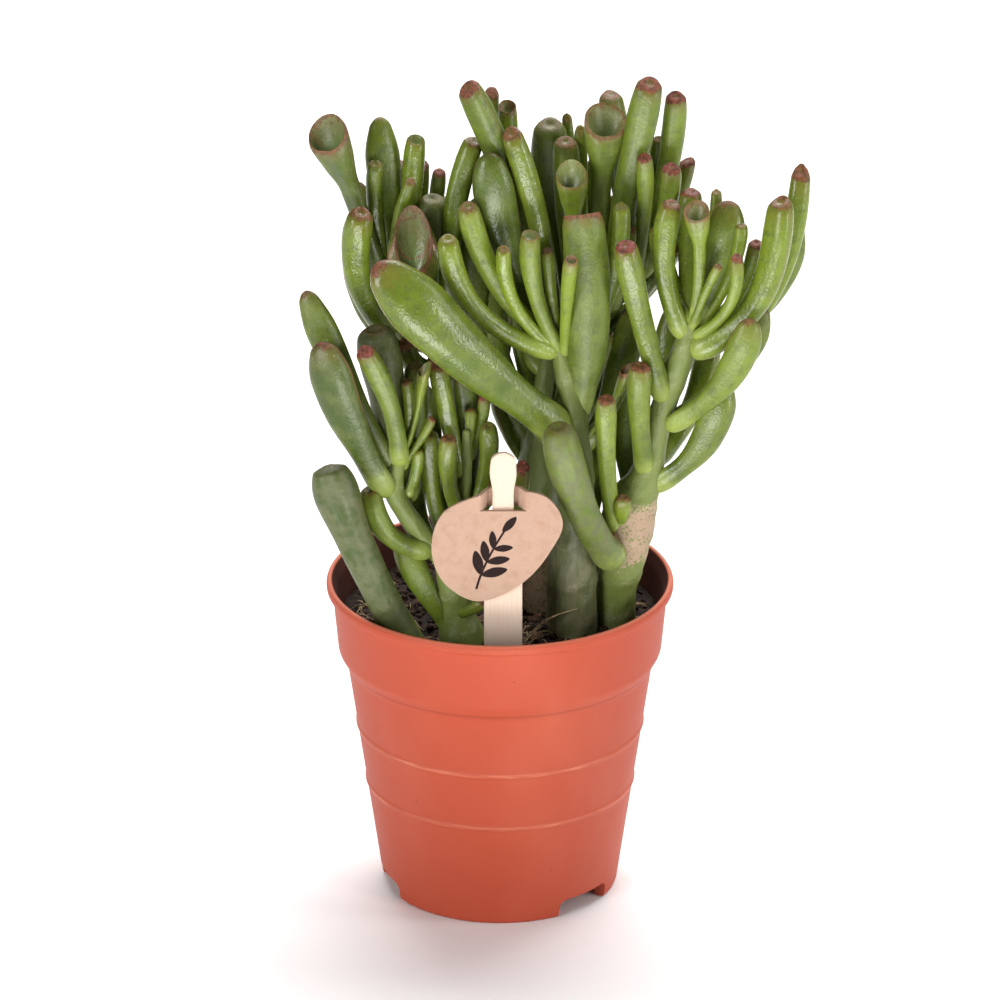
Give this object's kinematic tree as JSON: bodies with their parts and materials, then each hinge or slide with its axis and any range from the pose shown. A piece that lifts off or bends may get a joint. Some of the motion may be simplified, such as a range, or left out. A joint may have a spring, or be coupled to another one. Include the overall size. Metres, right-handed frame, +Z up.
{
  "type": "potted hobbit jade",
  "caption": "Potted hobbit jade: upright finger and trumpet shaped succulent leaves on thick stems in a tapered plastic nursery pot, with soil and a blank card tag on a wooden stake.",
  "frame": {"origin": "on the pot's axis, at the level that the pot stands on", "axes": "+Z up along the pot's axis, -Y towards the front, where the tag faces, +X to the right seen from the front"},
  "size_m": [0.1296, 0.0898, 0.2205],
  "materials": {
    "pot": "satin moulded terracotta-coloured plastic",
    "soil": "rough damp potting soil",
    "plant_left": "glossy waxy leaf skin",
    "plant_middle": "glossy waxy leaf skin",
    "plant_right": "glossy waxy leaf skin",
    "plant_back": "glossy waxy leaf skin",
    "leaf_rooted": "glossy waxy leaf skin",
    "tag_stake": "smooth unfinished birch",
    "tag_card": "matt kraft card"
  },
  "bodies": {
    "root": {"pot": "pot", "soil": "soil", "plant_left": "plant_left", "plant_middle": "plant_middle", "plant_right": "plant_right", "plant_back": "plant_back", "leaf_rooted": "leaf_rooted", "tag_stake": "tag_stake", "tag_card": "tag_card"}
  },
  "joints": []
}
